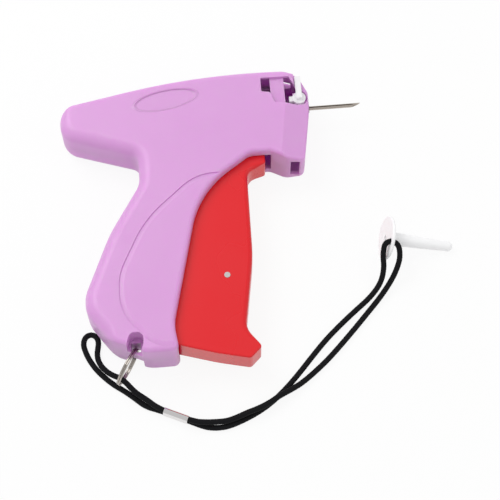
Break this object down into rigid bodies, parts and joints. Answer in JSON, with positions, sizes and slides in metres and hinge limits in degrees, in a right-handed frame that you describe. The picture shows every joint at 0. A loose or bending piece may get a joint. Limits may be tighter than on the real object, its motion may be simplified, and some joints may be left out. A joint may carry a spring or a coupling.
{
  "type": "garment tag attacher",
  "caption": "Hand-held tagging gun that pushes plastic T-end fasteners through cloth with a hollow needle, with a squeeze trigger, needle guard and wrist strap.",
  "frame": {"origin": "middle of the gun's own box in plan, on the table the gun lies on, on its left side", "axes": "+X the way the needle points, +Y toward the top of the gun, +Z out of its right side"},
  "size_m": [0.1947, 0.1841, 0.026],
  "materials": {
    "shell": "satin lavender moulded plastic",
    "trigger_plastic": "glossy red moulded plastic",
    "steel": "bright plated steel",
    "zinc": "zinc plated sheet steel",
    "spring_steel": "spring steel",
    "slider_plastic": "natural white acetal",
    "base_plastic": "dark moulded needle foot",
    "needle_steel": "hardened needle steel, grey brown",
    "white_plastic": "satin white moulded plastic",
    "ferrule_metal": "crimped bright metal",
    "cord": "black braided cord",
    "guard_plastic": "translucent white polyethylene"
  },
  "bodies": {
    "housing": {"right_shell": "shell", "left_shell": "shell", "shell_screws": "steel", "trigger_pivot_pin": "steel", "lever_pivot_pin": "steel", "return_spring": "spring_steel", "needle_base": "base_plastic", "needle": "needle_steel", "cutter_blade": "steel", "feed_pawl": "spring_steel", "strap_ring": "steel", "strap_ferrule": "ferrule_metal", "strap_short_loop": "cord", "strap_long_loop": "cord", "needle_guard": "guard_plastic"},
    "trigger": {"trigger": "trigger_plastic", "trigger_link_pin": "steel"},
    "link": {"drive_link": "zinc"},
    "lever": {"drive_lever": "zinc", "lever_foot_pin": "steel"},
    "slider": {"slider": "slider_plastic", "slider_pin": "steel", "push_rod": "steel"},
    "lock": {"needle_lock_lever": "white_plastic"},
    "feed": {"feed_wheel": "slider_plastic"}
  },
  "joints": [
    {"name": "trigger_squeeze", "type": "hinge", "parent": "housing", "child": "trigger", "pos_m": [-0.02985, -0.0604, 0.013], "axis": [0, 0, 1], "range_deg": [0, 12], "stiffness_Nm_per_rad": 0.9, "springref_deg": -6.88},
    {"name": "link_swing", "type": "hinge", "parent": "trigger", "child": "link", "pos_m": [0.00075, -0.0337, 0.013], "axis": [0, 0, 1], "range_deg": [-2.09, 0]},
    {"name": "lever_swing", "type": "hinge", "parent": "housing", "child": "lever", "pos_m": [-0.04085, -0.0099, 0.013], "axis": [0, 0, 1], "range_deg": [-24.27, 0]},
    {"name": "slider_travel", "type": "slide", "parent": "housing", "child": "slider", "axis": [1, 0, 0], "range_m": [0, 0.03014], "deforming": ["return_spring"]},
    {"name": "lock_turn", "type": "hinge", "parent": "housing", "child": "lock", "pos_m": [0.04549, 0.06126, 0.022], "axis": [0, 0, 1], "range_deg": [-90, 0]},
    {"name": "feed_spin", "type": "hinge", "parent": "housing", "child": "feed", "pos_m": [0.03665, 0.0531, 0.0078], "axis": [1, 0, 0], "continuous": true}
  ],
  "couplings": [
    {"joint": "link_swing", "follows": "trigger_squeeze", "ratio": -0.17357},
    {"joint": "lever_swing", "follows": "trigger_squeeze", "ratio": -2.0219},
    {"joint": "slider_travel", "follows": "trigger_squeeze", "m_per_rad": 0.14389}
  ]
}
